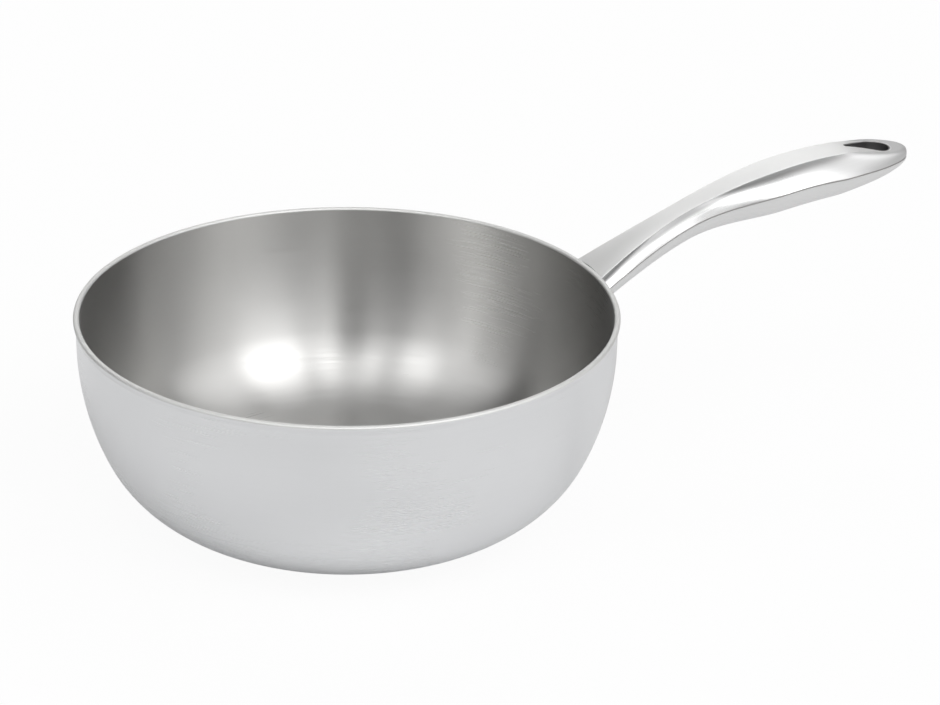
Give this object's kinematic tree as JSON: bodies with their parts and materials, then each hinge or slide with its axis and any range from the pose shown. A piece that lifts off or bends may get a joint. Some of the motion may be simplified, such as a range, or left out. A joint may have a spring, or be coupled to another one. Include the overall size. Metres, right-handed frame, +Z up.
{
  "type": "saucier pan",
  "caption": "Clad stainless saucier pan: a deep bowl with a curved side for whisking and simmering, and a long hollow handle with a hanging hole.",
  "frame": {"origin": "centre of the flat base, on the surface that the pan stands on", "axes": "+Z up along the bowl's axis, +X out along the handle"},
  "size_m": [0.416, 0.245, 0.1365],
  "materials": {
    "brushed_interior": "brushed in rings",
    "core": "mill",
    "satin_exterior": "satin, spun in rings",
    "handle_top": "satin strip with polished flanks",
    "handle_belly": "satin along the handle",
    "sleeve": "satin",
    "foot": "mill",
    "weld": "dressed"
  },
  "bodies": {
    "root": {"cooking_surface": "brushed_interior", "aluminium_core": "core", "outer_shell": "satin_exterior", "handle_top_shell": "handle_top", "handle_bottom_shell": "handle_belly", "hang_hole_sleeve": "sleeve", "handle_foot": "foot", "foot_spot_welds": "weld", "root_weld": "weld", "seam_weld": "weld"}
  },
  "joints": []
}
